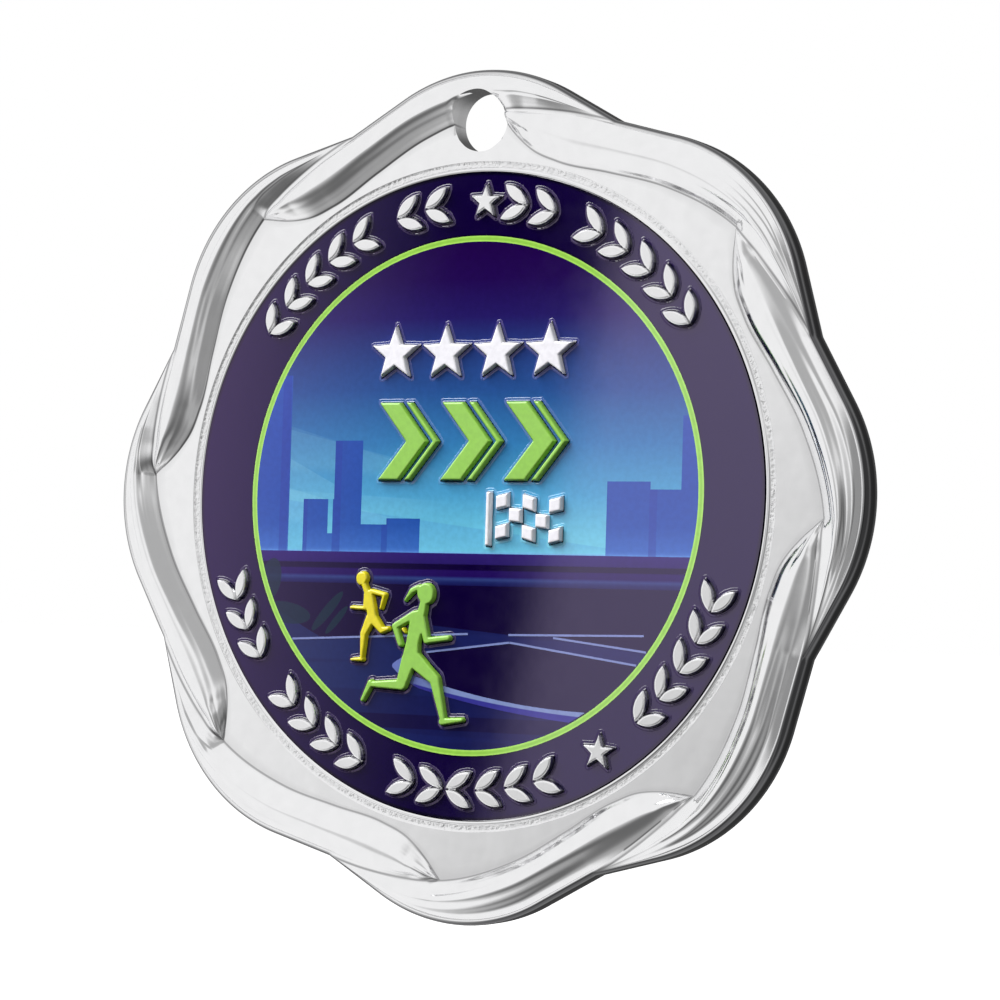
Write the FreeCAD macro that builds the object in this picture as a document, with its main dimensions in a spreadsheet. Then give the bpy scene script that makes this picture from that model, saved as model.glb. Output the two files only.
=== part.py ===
"""Sports finisher medal with a ribbon hole, a rope border and a coloured 2-inch insert.

Every sub-part is drawn flat: x to the right, y towards the ribbon hole, z out of the front face,
with z = 0 on the back and the origin at the medal's centre. Its Placement then hangs it upright:
+Z up, front towards -Y, origin on the axis of the ribbon hole, at mid-thickness of the edge.
"""

import FreeCAD
import Part

import math
import os

import Sketcher

DIMENSIONS = {
    # casting
    "edge_thickness": 2.2,
    "field_thickness": 1.95,
    "crest_height": 3.2,
    "lobe_peak": 33.6,
    "lobe_radius": 14.5,
    "notch_radius": 31.35,
    "trim_radius": 40.0,
    "hole_offset": 29.5,
    "hole_radius": 2.4,
    # pocket for the insert
    "grain_radius": 26.3,
    "grain_depth": 0.12,
    "pocket_radius": 25.45,
    "pocket_depth": 0.75,
    # stack in the pocket
    "insert_radius": 25.4,
    "adhesive_radius": 24.9,
    "adhesive_thickness": 0.1,
    "plate_thickness": 0.45,
    "enamel_thickness": 0.25,
    "accent_outer": 20.4,
    "accent_inner": 19.94,
    # picture
    "horizon": -4.6,
    "parapet_foot": -7.15,
    "line_thickness": 0.03,
    "line_width": 0.16,
    # raised work
    "rim_relief": 0.5,
    "centre_relief": 0.45,
    "motif_radius": 23.03,
    "leaf_length": 2.6,
    "leaf_radius": 1.9,
}

LOBES = 8
LOBE_ANGLE = 360.0 / LOBES

doc = FreeCAD.newDocument("finisher_medal")
sheet = doc.addObject("Spreadsheet::Sheet", "sheet")
for row, (alias, value) in enumerate(DIMENSIONS.items(), start=1):
    sheet.set(f"A{row}", alias)
    sheet.set(f"B{row}", str(value))
    sheet.setAlias(f"B{row}", alias)
doc.recompute()

POCKET_FLOOR = "sheet.field_thickness - sheet.pocket_depth"
PLATE_BACK = f"{POCKET_FLOOR} + sheet.adhesive_thickness"
ENAMEL_BACK = f"{PLATE_BACK} + sheet.plate_thickness"
ENAMEL_FRONT = f"{ENAMEL_BACK} + sheet.enamel_thickness"

nodes = []


def size(alias):
    """The value of one driving dimension."""
    return float(sheet.get(alias))


def stand_upright(part, height="0"):
    """Hang a flat-drawn sub-part upright, with its own z = 0 at the height above the back."""
    part.Placement = FreeCAD.Placement(
        FreeCAD.Vector(0, 0, 0), FreeCAD.Rotation(FreeCAD.Vector(1, 0, 0), 90)
    )
    part.setExpression("Placement.Base.y", f"sheet.edge_thickness / 2 - ({height})")
    part.setExpression("Placement.Base.z", "-sheet.hole_offset")


def name_node(part, label):
    """Give a finished sub-part the name of its file."""
    part.Label = label
    nodes.append(part)


def clockwise(radius, angle):
    """A point at an angle in degrees, clockwise from the top of the medal."""
    turn = math.radians(angle)
    return FreeCAD.Vector(radius * math.sin(turn), radius * math.cos(turn), 0)


def plane_of(body, role):
    """One of a body's own origin planes."""
    return next(f for f in body.Origin.OriginFeatures if f.Role == role)


def new_sketch(body, name, role="XY_Plane"):
    """An empty sketch on one of the body's origin planes."""
    sketch = body.newObject("Sketcher::SketchObject", name)
    sketch.AttachmentSupport = [(plane_of(body, role), "")]
    sketch.MapMode = "FlatFace"
    return sketch


def bind(sketch, kind, name, expression, *where):
    """Add a dimension to a sketch and tie it to the sheet."""
    value = sketch.evalExpression(expression)
    number = sketch.addConstraint(Sketcher.Constraint(kind, *where, float(value)))
    sketch.renameConstraint(number, name)
    sketch.setExpression(f"Constraints.{name}", expression)


def bound_circle(sketch, name, radius, centre=None):
    """A circle on the origin, or above it, with its radius tied to the sheet."""
    middle = FreeCAD.Vector(0, sketch.evalExpression(centre) if centre else 0, 0)
    start = sketch.evalExpression(radius)
    circle = sketch.addGeometry(Part.Circle(middle, FreeCAD.Vector(0, 0, 1), float(start)))
    bind(sketch, "Radius", name, radius, circle)
    if centre:
        sketch.addConstraint(Sketcher.Constraint("PointOnObject", circle, 3, -2))
        bind(sketch, "DistanceY", f"{name}_centre", centre, -1, 1, circle, 3)
    else:
        sketch.addConstraint(Sketcher.Constraint("Coincident", circle, 3, -1, 1))


def line_loop(points):
    """Straight edges round a list of corners."""
    return [Part.LineSegment(a, b) for a, b in zip(points, points[1:] + points[:1])]


def pad(body, sketch, length):
    """Raise a sketch out of the front by a length tied to the sheet."""
    feature = body.newObject("PartDesign::Pad", f"{sketch.Name}_pad")
    feature.Profile = sketch
    feature.setExpression("Length", length)
    body.Tip = feature
    return feature


def pocket(body, sketch, depth=None):
    """Cut a sketch into the front by a depth, or right through."""
    feature = body.newObject("PartDesign::Pocket", f"{sketch.Name}_cut")
    feature.Profile = sketch
    if depth:
        feature.setExpression("Length", depth)
    else:
        feature.Type = "ThroughAll"
        feature.Midplane = True
    body.Tip = feature
    return feature


def ring_pattern(body, feature):
    """Repeat a feature once for each lobe."""
    pattern = body.newObject("PartDesign::PolarPattern", f"{feature.Name}_ring")
    pattern.Originals = [feature]
    pattern.Axis = (plane_of(body, "Z_Axis"), [""])
    pattern.Angle = 360
    pattern.Occurrences = LOBES
    body.Tip = pattern
    return pattern


# ---------------------------------------------------------------- the casting

# One strand of the rope, as radial sections. Each is placed by its angle in degrees from the
# strand's own lobe and gives the inner foot, the crest and the outer side as radii, and the
# crest's and the outer side's heights as shares of the crest height and the edge thickness.
STRAND_SECTIONS = [
    (-41.0, 29.95, 30.15, 30.45, 0.84, 1.0),
    (-36.0, 27.90, 28.90, 30.75, 0.93, 0.9),
    (-29.0, 26.90, 28.15, 31.30, 1.0, 0.9),
    (-20.0, 27.35, 28.75, 32.30, 1.0, 0.9),
    (-10.0, 28.65, 30.00, 33.60, 1.0, 0.9),
    (0.0, 29.90, 31.10, 34.30, 0.97, 0.9),
    (10.0, 30.30, 31.30, 33.60, 0.90, 0.9),
    (21.0, 30.45, 31.05, 32.00, 0.76, 0.9),
]
STRAND_ROOT = 0.6
WALL_LEAN = 0.45
SHOULDER = 0.84


def strand_section(body, number, angle, foot, crest, side, crest_share, side_share):
    """A D-shaped section of the strand in the radial plane at an angle."""
    sketch = new_sketch(body, f"strand_section{number}", "XZ_Plane")
    turn = FreeCAD.Rotation(FreeCAD.Vector(0, 1, 0), 90 - angle)
    sketch.AttachmentOffset = FreeCAD.Placement(FreeCAD.Vector(0, 0, 0), turn)
    top = size("crest_height") * crest_share
    outer = size("edge_thickness") * side_share
    lean = min(WALL_LEAN, (crest - foot) / 2)
    low_foot = FreeCAD.Vector(foot, STRAND_ROOT, 0)
    shoulder = FreeCAD.Vector(foot + lean, top * SHOULDER, 0)
    summit = FreeCAD.Vector(crest, top, 0)
    rim = FreeCAD.Vector(side, outer, 0)
    low_side = FreeCAD.Vector(side, STRAND_ROOT, 0)
    wall = sketch.addGeometry(Part.LineSegment(low_foot, shoulder))
    crown = sketch.addGeometry(Part.ArcOfCircle(shoulder, summit, rim))
    outside = sketch.addGeometry(Part.LineSegment(rim, low_side))
    bottom = sketch.addGeometry(Part.LineSegment(low_side, low_foot))
    # an arc may run either way round, so its end at the rim is found by its place
    rim_end = min((1, 2), key=lambda end: sketch.getPoint(crown, end).distanceToPoint(rim))
    joins = [
        (wall, 2, crown, 3 - rim_end),
        (crown, rim_end, outside, 1),
        (outside, 2, bottom, 1),
        (bottom, 2, wall, 1),
    ]
    for join in joins:
        sketch.addConstraint(Sketcher.Constraint("Coincident", *join))
    shoulder_height = f"sheet.crest_height * {crest_share * SHOULDER}"
    bind(sketch, "DistanceY", "shoulder_height", shoulder_height, -1, 1, wall, 2)
    side_height = f"sheet.edge_thickness * {side_share}"
    bind(sketch, "DistanceY", "side_height", side_height, -1, 1, outside, 1)
    return sketch


def make_strand(body):
    """One strand of the rope border, lofted through its sections."""
    sketches = [strand_section(body, n, *values) for n, values in enumerate(STRAND_SECTIONS)]
    strand = body.newObject("PartDesign::AdditiveLoft", "strand")
    strand.Profile = sketches[0]
    strand.Sections = sketches[1:]
    body.Tip = strand
    return strand


def lobe_trim(body):
    """The waste outside one lobe: flanks tangent to the crown arc, out to the trim radius."""
    peak = size("lobe_peak")
    bend = size("lobe_radius")
    middle = FreeCAD.Vector(0, peak - bend, 0)
    half = LOBE_ANGLE / 2
    notch = clockwise(size("notch_radius"), half)
    outside = clockwise(size("trim_radius"), half)
    reach = notch.sub(middle)
    aim = math.atan2(reach.y, reach.x) + math.acos(bend / reach.Length)
    touch = middle.add(FreeCAD.Vector(bend * math.cos(aim), bend * math.sin(aim), 0))

    def mirrored(point):
        return FreeCAD.Vector(-point.x, point.y, 0)

    circle = Part.Circle(middle, FreeCAD.Vector(0, 0, 1), bend)
    sketch = new_sketch(body, "lobe_trim")
    crown = sketch.addGeometry(Part.ArcOfCircle(circle, aim, math.pi - aim))
    left = sketch.addGeometry(Part.LineSegment(mirrored(touch), mirrored(notch)))
    left_side = sketch.addGeometry(Part.LineSegment(mirrored(notch), mirrored(outside)))
    far = sketch.addGeometry(Part.LineSegment(mirrored(outside), outside))
    right_side = sketch.addGeometry(Part.LineSegment(outside, notch))
    right = sketch.addGeometry(Part.LineSegment(notch, touch))
    sketch.addConstraint(Sketcher.Constraint("Tangent", crown, 2, left, 1))
    sketch.addConstraint(Sketcher.Constraint("Coincident", left, 2, left_side, 1))
    sketch.addConstraint(Sketcher.Constraint("Coincident", left_side, 2, far, 1))
    sketch.addConstraint(Sketcher.Constraint("Coincident", far, 2, right_side, 1))
    sketch.addConstraint(Sketcher.Constraint("Coincident", right_side, 2, right, 1))
    sketch.addConstraint(Sketcher.Constraint("Tangent", right, 2, crown, 1))
    sketch.addConstraint(Sketcher.Constraint("PointOnObject", crown, 3, -2))
    bind(sketch, "Radius", "crown_radius", "sheet.lobe_radius", crown)
    bind(sketch, "DistanceY", "crown_centre", "sheet.lobe_peak - sheet.lobe_radius", -1, 1, crown, 3)
    for name, edge, end, radius in (
        ("notch", right, 1, "sheet.notch_radius"),
        ("outside", far, 2, "sheet.trim_radius"),
    ):
        bind(sketch, "DistanceX", f"{name}_x", f"{radius} * sin({half} deg)", -1, 1, edge, end)
        bind(sketch, "DistanceY", f"{name}_y", f"{radius} * cos({half} deg)", -1, 1, edge, end)
    for name, edge, end, radius in (
        ("left_notch", left_side, 1, "sheet.notch_radius"),
        ("left_outside", far, 1, "sheet.trim_radius"),
    ):
        bind(sketch, "DistanceX", f"{name}_x", f"{radius} * sin({half} deg)", edge, end, -1, 1)
        bind(sketch, "DistanceY", f"{name}_y", f"{radius} * cos({half} deg)", -1, 1, edge, end)
    return pocket(body, sketch)


def make_medal_body():
    """The casting: field, rope border, lobed outline, insert pocket and ribbon hole."""
    body = doc.addObject("PartDesign::Body", "medal_body")
    blank = new_sketch(body, "blank")
    bound_circle(blank, "blank_radius", "sheet.trim_radius - 4")
    pad(body, blank, "sheet.field_thickness")
    ring_pattern(body, make_strand(body))
    ring_pattern(body, lobe_trim(body))
    for name, radius, depth in (
        ("grain_ring", "sheet.grain_radius", "sheet.grain_depth"),
        ("insert_pocket", "sheet.pocket_radius", "sheet.pocket_depth"),
    ):
        sketch = new_sketch(body, name)
        sketch.setExpression("AttachmentOffset.Base.z", "sheet.field_thickness")
        bound_circle(sketch, f"{name}_radius", radius)
        pocket(body, sketch, depth)
    hole = new_sketch(body, "ribbon_hole")
    bound_circle(hole, "ribbon_hole_radius", "sheet.hole_radius", "sheet.hole_offset")
    pocket(body, hole)
    stand_upright(body)
    name_node(body, "medal_body")


# ---------------------------------------------------------------- the insert


def cylinder(name, radius, height, centre=(0, 0)):
    """A round Part primitive drawn flat, sizes tied to the sheet."""
    part = doc.addObject("Part::Cylinder", name)
    part.setExpression("Radius", radius)
    part.setExpression("Height", height)
    part.Placement.Base = FreeCAD.Vector(*centre, 0)
    return part


def box(name, left, right, low, top, thickness="sheet.enamel_thickness"):
    """A flat box between two x and two y places, given as expressions."""
    part = doc.addObject("Part::Box", name)
    part.setExpression("Length", f"({right}) - ({left})")
    part.setExpression("Width", f"({top}) - ({low})")
    part.setExpression("Height", thickness)
    part.setExpression("Placement.Base.x", left)
    part.setExpression("Placement.Base.y", low)
    return part


def difference(name, base, tool):
    """Base less tool."""
    part = doc.addObject("Part::Cut", name)
    part.Base = base
    part.Tool = tool
    return part


def overlap(name, shapes):
    """What all the shapes share."""
    part = doc.addObject("Part::MultiCommon", name)
    part.Shapes = shapes
    return part


def union(name, shapes):
    """The shapes as one group of solids."""
    part = doc.addObject("Part::MultiFuse", name)
    part.Shapes = shapes
    return part


def make_discs():
    """Adhesive, plate, enamel band and accent ring."""
    adhesive = cylinder("adhesive", "sheet.adhesive_radius", "sheet.adhesive_thickness")
    stand_upright(adhesive, POCKET_FLOOR)
    name_node(adhesive, "insert_adhesive")
    plate = cylinder("plate", "sheet.insert_radius", "sheet.plate_thickness")
    stand_upright(plate, PLATE_BACK)
    name_node(plate, "insert_plate")
    rings = (
        ("rim_band", "sheet.insert_radius", "sheet.accent_outer"),
        ("accent_ring", "sheet.accent_outer", "sheet.accent_inner"),
    )
    for label, outer, inner in rings:
        disc = cylinder(f"{label}_disc", outer, "sheet.enamel_thickness")
        core = cylinder(f"{label}_core", inner, "sheet.enamel_thickness")
        ring = difference(label, disc, core)
        stand_upright(ring, ENAMEL_BACK)
        name_node(ring, label)


# left side, right side and roof of each building, in mm from the medal's centre
BUILDINGS = [
    (-20.5, -16.8, 9.6),
    (-15.4, -12.5, -0.4),
    (-12.5, -9.9, 4.3),
    (-9.9, -7.5, -2.4),
    (-7.5, -4.4, -1.9),
    (12.2, 15.9, 1.1),
    (15.9, 18.5, 0.5),
    (18.5, 20.5, 6.1),
]


def picture_disc(name):
    """A fresh disc as large as the picture, to trim a field of colour."""
    return cylinder(name, "sheet.accent_inner", "sheet.enamel_thickness")


def make_picture():
    """Sky, skyline, parapet and road, flush with each other."""
    edge = "sheet.accent_inner + 1"
    blocks = []
    for number, (left, right, roof) in enumerate(BUILDINGS):
        blocks.append(box(f"building{number}", str(left), str(right), "sheet.horizon", str(roof)))
    skyline = overlap("skyline", [union("blocks", blocks), picture_disc("skyline_disc")])
    stand_upright(skyline, ENAMEL_BACK)
    name_node(skyline, "skyline")

    copies = []
    for block in blocks:
        copy = box(f"{block.Name}_gap", "0", "1", "0", "1")
        for field in ("Length", "Width", "Placement.Base.x", "Placement.Base.y"):
            copy.setExpression(field, f"{block.Name}.{field}")
        copies.append(copy)
    fields = {
        "sky": ("sheet.horizon", edge),
        "parapet": ("sheet.parapet_foot", "sheet.horizon"),
        "road": (f"-({edge})", "sheet.parapet_foot"),
    }
    labels = {"sky": "sky_panel", "parapet": "parapet_band", "road": "road_panel"}
    for name, (low, top) in fields.items():
        strip = box(f"{name}_strip", f"-({edge})", edge, low, top)
        field = overlap(f"{name}_field", [strip, picture_disc(f"{name}_disc")])
        if name == "sky":
            field = difference("sky_less_buildings", field, union("building_gaps", copies))
        stand_upright(field, ENAMEL_BACK)
        name_node(field, labels[name])


# ---------------------------------------------------------------- painted lines


def strip_loop(start, end, width):
    """The four sides of a straight strip between two points."""
    along = FreeCAD.Vector(end[0] - start[0], end[1] - start[1], 0).normalize()
    across = FreeCAD.Vector(-along.y, along.x, 0) * (width / 2)
    a = FreeCAD.Vector(*start, 0)
    b = FreeCAD.Vector(*end, 0)
    return line_loop([a - across, b - across, b + across, a + across])


# start and end of each painted line on the road
ROAD_LINES = [
    ((-16.05, -11.70), (0.30, -10.88)),
    ((3.95, -10.86), (15.70, -10.62)),
    ((-3.40, -12.41), (4.04, -11.45)),
    ((4.08, -11.45), (15.12, -12.87)),
    ((7.90, -10.98), (15.93, -11.85)),
]
# the curved band, once round: each corner, and the point that its next side bows through
BEND = [
    ((-5.10, -12.75), (-5.80, -12.98)),
    ((-6.40, -13.35), (-6.52, -13.55)),
    ((-6.38, -13.78), (-5.50, -14.50)),
    ((-4.00, -15.28), (2.50, -16.58)),
    ((9.50, -17.42), None),
    ((10.85, -16.60), (1.50, -15.68)),
    ((-4.50, -14.30), (-5.00, -13.60)),
]


def bowed_loop(sides):
    """A closed outline with straight and bowed sides."""
    corners = [FreeCAD.Vector(*corner, 0) for corner, _ in sides]
    edges = []
    for (_, bow), start, end in zip(sides, corners, corners[1:] + corners[:1]):
        if bow:
            edges.append(Part.ArcOfCircle(start, FreeCAD.Vector(*bow, 0), end))
        else:
            edges.append(Part.LineSegment(start, end))
    return edges


def make_lane_lines(figures):
    """Painted lines that lie on the road and stop at the raised figures."""
    body = doc.addObject("PartDesign::Body", "lane_line_body")
    sketch = new_sketch(body, "lane_line_strips")
    for start, end in ROAD_LINES:
        for edge in strip_loop(start, end, size("line_width")):
            sketch.addGeometry(edge)
    for edge in bowed_loop(BEND):
        sketch.addGeometry(edge)
    pad(body, sketch, "sheet.line_thickness")
    stand_upright(body, ENAMEL_FRONT)
    name_node(difference("lines_less_figures", body, union("figures", figures)), "lane_lines")


# ---------------------------------------------------------------- raised motifs

TOP_WORDS = [5, 2, 3, 5]
BOTTOM_WORDS = [3, 4, 6, 1, 5]
TOP_PITCH = 6.6
TOP_GAP = 4.5
BOTTOM_PITCH = 6.5
BOTTOM_GAP = 6.0
LEAF_SPREAD = 31.0
LEAF_STEM = 1.1
RIM_STAR = 1.45
STAR_WAIST = 0.42


def word_angles(words, pitch, gap):
    """Angles of evenly spaced motifs in groups, centred on zero."""
    angles = []
    angle = 0.0
    for count in words:
        for _ in range(count):
            angles.append(angle)
            angle += pitch
        angle += gap
    middle = (angles[0] + angles[-1]) / 2
    return [a - middle for a in angles]


def leaf_edges(stem, heading):
    """A pointed leaf: two arcs from the stem to the tip."""
    along = FreeCAD.Vector(math.cos(heading), math.sin(heading), 0)
    across = FreeCAD.Vector(-along.y, along.x, 0)
    length = size("leaf_length")
    bend = size("leaf_radius")
    belly = bend - math.sqrt(bend**2 - length**2 / 4)
    tip = stem + along * length
    middle = stem + along * (length / 2)
    return [
        Part.ArcOfCircle(stem, middle - across * belly, tip),
        Part.ArcOfCircle(tip, middle + across * belly, stem),
    ]


def leaf_pair(angle, forwards):
    """Two leaves from one stem, pointing clockwise, or the other way."""
    centre = clockwise(size("motif_radius"), angle)
    turn = math.radians(-angle if forwards else 180 - angle)
    along = FreeCAD.Vector(math.cos(turn), math.sin(turn), 0)
    across = FreeCAD.Vector(-along.y, along.x, 0)
    edges = []
    for side in (1, -1):
        stem = centre - along * LEAF_STEM + across * (side * 0.05)
        edges += leaf_edges(stem, turn + side * math.radians(LEAF_SPREAD))
    return edges


def star_edges(centre, radius, angle=0.0):
    """A five-pointed star with one point outwards at the angle."""
    corners = []
    for number in range(10):
        reach = radius if number % 2 == 0 else radius * STAR_WAIST
        corners.append(centre + clockwise(reach, angle + 36 * number))
    return line_loop(corners)


def raise_edges(label, edges, height, sheet_height):
    """One group of raised solids from a sketch of closed outlines."""
    body = doc.addObject("PartDesign::Body", label)
    sketch = new_sketch(body, f"{label}_outline")
    sketch.addGeometry(edges)
    pad(body, sketch, sheet_height)
    stand_upright(body, height)
    name_node(body, label)


def make_rim_motifs():
    """Laurel leaves in groups along the band, with a star at two places."""
    top = []
    angles = word_angles(TOP_WORDS, TOP_PITCH, TOP_GAP)
    for number, angle in enumerate(angles):
        if number == len(angles) // 2:
            top += star_edges(clockwise(size("motif_radius"), angle), RIM_STAR, angle)
        else:
            top += leaf_pair(angle, number < len(angles) // 2)
    raise_edges("top_rim_motifs", top, ENAMEL_FRONT, "sheet.rim_relief")

    bottom = []
    angles = [180 - a for a in word_angles(BOTTOM_WORDS, BOTTOM_PITCH, BOTTOM_GAP)]
    star = sum(BOTTOM_WORDS[:3])
    for number, angle in enumerate(angles):
        if number == star:
            bottom += star_edges(clockwise(size("motif_radius"), angle), RIM_STAR, angle)
        else:
            bottom += leaf_pair(angle, angle > 180)
    raise_edges("bottom_rim_motifs", bottom, ENAMEL_FRONT, "sheet.rim_relief")


STAR_COUNT = 4
STAR_PITCH = 4.65
STAR_HEIGHT = 11.15
STAR_RADIUS = 2.3

CHEVRON_COUNT = 3
CHEVRON_PITCH = 5.75
CHEVRON_LEFT = -8.3
CHEVRON_LOW = 1.1
CHEVRON_TALL = 6.2
CHEVRON_REACH = 2.55
CHEVRON_BARS = ((0.0, 2.0), (2.45, 0.6))

FLAG_LEFT = 2.6
FLAG_TOP = 0.25
FLAG_CELL = 1.18
FLAG_ROWS = 3
FLAG_COLUMNS = 5
FLAG_GAP = 0.07
FLAG_WAVE = 0.28
POLE_LEFT = 1.75
POLE_WIDTH = 0.45
POLE_FOOT = -4.0


def chevron_corners(left, width):
    """An arrowhead bar that points right."""
    middle = CHEVRON_LOW + CHEVRON_TALL / 2
    top = CHEVRON_LOW + CHEVRON_TALL
    return [
        FreeCAD.Vector(left, CHEVRON_LOW, 0),
        FreeCAD.Vector(left + width, CHEVRON_LOW, 0),
        FreeCAD.Vector(left + width + CHEVRON_REACH, middle, 0),
        FreeCAD.Vector(left + width, top, 0),
        FreeCAD.Vector(left, top, 0),
        FreeCAD.Vector(left + CHEVRON_REACH, middle, 0),
    ]


def flag_corner(column, row):
    """A corner of the waving flag's grid, counted from its top left."""
    x = FLAG_LEFT + column * FLAG_CELL
    wave = FLAG_WAVE * math.sin(2 * math.pi * column / FLAG_COLUMNS)
    return FreeCAD.Vector(x, FLAG_TOP - FLAG_WAVE - row * FLAG_CELL + wave, 0)


def make_centre_motifs():
    """White stars, lime chevrons and a small white chequered flag."""
    stars = []
    for number in range(STAR_COUNT):
        x = (number - (STAR_COUNT - 1) / 2) * STAR_PITCH
        stars += star_edges(FreeCAD.Vector(x, STAR_HEIGHT, 0), STAR_RADIUS)
    raise_edges("star_row", stars, ENAMEL_FRONT, "sheet.centre_relief")

    chevrons = []
    for number in range(CHEVRON_COUNT):
        for offset, width in CHEVRON_BARS:
            left = CHEVRON_LEFT + number * CHEVRON_PITCH + offset
            chevrons += line_loop(chevron_corners(left, width))
    raise_edges("chevron_row", chevrons, ENAMEL_FRONT, "sheet.centre_relief")

    gap = FLAG_GAP / FLAG_CELL / 2
    flag = line_loop(
        [
            FreeCAD.Vector(POLE_LEFT, POLE_FOOT, 0),
            FreeCAD.Vector(POLE_LEFT + POLE_WIDTH, POLE_FOOT, 0),
            FreeCAD.Vector(POLE_LEFT + POLE_WIDTH, FLAG_TOP, 0),
            FreeCAD.Vector(POLE_LEFT, FLAG_TOP, 0),
        ]
    )
    for row in range(FLAG_ROWS):
        for column in range(row % 2, FLAG_COLUMNS, 2):
            left, right = column + gap, column + 1 - gap
            top, low = row + gap, row + 1 - gap
            corners = [(left, low), (right, low), (right, top), (left, top)]
            flag += line_loop([flag_corner(*corner) for corner in corners])
    raise_edges("finish_flag", flag, ENAMEL_FRONT, "sheet.centre_relief")


# Each limb runs between two joints (x, y) and tapers from one end radius to the other.
FRONT_RUNNER = [
    ((-3.45, -7.75), 0.80, (-3.40, -7.95), 0.74),  # head
    ((-4.10, -7.32), 0.24, (-4.72, -7.62), 0.26),  # tied hair
    ((-4.72, -7.62), 0.26, (-5.33, -8.40), 0.11),  # tied hair, end
    ((-3.60, -8.50), 0.34, (-3.80, -9.40), 0.42),  # neck
    ((-4.10, -9.80), 0.72, (-4.50, -11.70), 0.62),  # trunk
    ((-4.50, -11.70), 0.62, (-4.65, -12.90), 0.78),  # hips
    ((-4.45, -9.50), 0.36, (-6.20, -10.45), 0.30),  # rear upper arm
    ((-6.20, -10.45), 0.30, (-5.65, -11.85), 0.24),  # rear forearm
    ((-3.75, -9.75), 0.36, (-3.25, -11.50), 0.30),  # front upper arm
    ((-3.25, -11.50), 0.28, (-1.30, -11.25), 0.25),  # front forearm
    ((-4.35, -13.00), 0.72, (-2.40, -14.55), 0.48),  # front thigh
    ((-2.40, -14.55), 0.48, (-1.55, -17.60), 0.28),  # front shin
    ((-1.60, -17.80), 0.32, (0.15, -17.60), 0.20),  # front foot
    ((-4.85, -13.10), 0.68, (-5.45, -15.00), 0.50),  # rear thigh
    ((-5.45, -15.05), 0.46, (-8.20, -15.10), 0.27),  # rear shin
    ((-8.30, -15.00), 0.30, (-9.00, -16.35), 0.20),  # rear foot
]
REAR_RUNNER = [
    ((-9.40, -6.70), 0.56, (-9.42, -6.80), 0.52),  # head
    ((-9.20, -7.20), 0.24, (-8.95, -7.70), 0.28),  # neck
    ((-8.75, -8.05), 0.46, (-8.35, -9.70), 0.44),  # trunk
    ((-8.50, -7.75), 0.24, (-7.25, -8.00), 0.20),  # rear upper arm
    ((-7.25, -8.00), 0.20, (-7.55, -9.05), 0.16),  # rear forearm
    ((-8.95, -7.95), 0.24, (-9.05, -9.10), 0.20),  # front upper arm
    ((-9.05, -9.10), 0.19, (-10.30, -9.05), 0.17),  # front forearm
    ((-8.50, -9.90), 0.46, (-9.10, -11.10), 0.32),  # front thigh
    ((-9.10, -11.10), 0.32, (-9.20, -12.95), 0.18),  # front shin
    ((-9.20, -13.15), 0.22, (-10.15, -13.20), 0.14),  # front foot
    ((-8.25, -9.90), 0.44, (-7.45, -10.76), 0.31),  # rear thigh
    ((-7.45, -10.80), 0.30, (-6.85, -10.66), 0.20),  # rear shin, as far as the front runner's elbow
    ((-5.42, -10.66), 0.17, (-5.25, -10.90), 0.13),  # rear foot, inside the bend of that arm
]


def limb_edges(start, start_radius, end, end_radius):
    """A tapered limb with round ends: two arcs and the two lines tangent to both."""
    a = FreeCAD.Vector(*start, 0)
    b = FreeCAD.Vector(*end, 0)
    along = math.atan2(b.y - a.y, b.x - a.x)
    lean = math.acos((start_radius - end_radius) / (b - a).Length)

    def round_point(centre, radius, heading):
        return centre + FreeCAD.Vector(math.cos(heading), math.sin(heading), 0) * radius

    left_a = round_point(a, start_radius, along + lean)
    right_a = round_point(a, start_radius, along - lean)
    left_b = round_point(b, end_radius, along + lean)
    right_b = round_point(b, end_radius, along - lean)
    back = round_point(a, start_radius, along + math.pi)
    front = round_point(b, end_radius, along)
    return [
        Part.ArcOfCircle(left_a, back, right_a),
        Part.LineSegment(right_a, right_b),
        Part.ArcOfCircle(right_b, front, left_b),
        Part.LineSegment(left_b, left_a),
    ]


def make_runner(label, limbs):
    """A running figure: one pad for each limb, all at the same height."""
    body = doc.addObject("PartDesign::Body", label)
    for number, limb in enumerate(limbs):
        sketch = new_sketch(body, f"{label}_limb{number}")
        sketch.addGeometry(limb_edges(*limb))
        pad(body, sketch, "sheet.centre_relief")
    stand_upright(body, ENAMEL_FRONT)
    name_node(body, label)
    return body


# ---------------------------------------------------------------- build and write


def check_and_write():
    """Refuse a failed object or a bad shape, then write one file for each node."""
    doc.recompute()
    failed = [o.Name for o in doc.Objects if "Invalid" in o.State or "Error" in o.State]
    if failed:
        raise RuntimeError(f"failed objects: {failed}")
    os.makedirs("parts", exist_ok=True)
    for part in nodes:
        shape = part.Shape
        if shape.isNull() or not shape.isValid():
            raise RuntimeError(f"{part.Label} has a bad shape")
        print(f"{part.Label}: {len(shape.Solids)} solids, {shape.Volume:.2f} mm3")
        shape.exportStep(f"parts/{part.Label}.step")


make_medal_body()
make_discs()
make_picture()
make_rim_motifs()
make_centre_motifs()
runners = [make_runner("runner_front", FRONT_RUNNER), make_runner("runner_rear", REAR_RUNNER)]
make_lane_lines(runners)
check_and_write()
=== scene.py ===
"""Looks of the sports finisher medal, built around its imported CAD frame.

Shapes are worked out flat, in millimetres: x to the right, y up from the medal's centre,
and a height above the back. place() turns them into the row frame, in metres.
"""

import math

import bmesh
import bpy
import numpy as np
from mathutils import Matrix, Vector, noise


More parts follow.
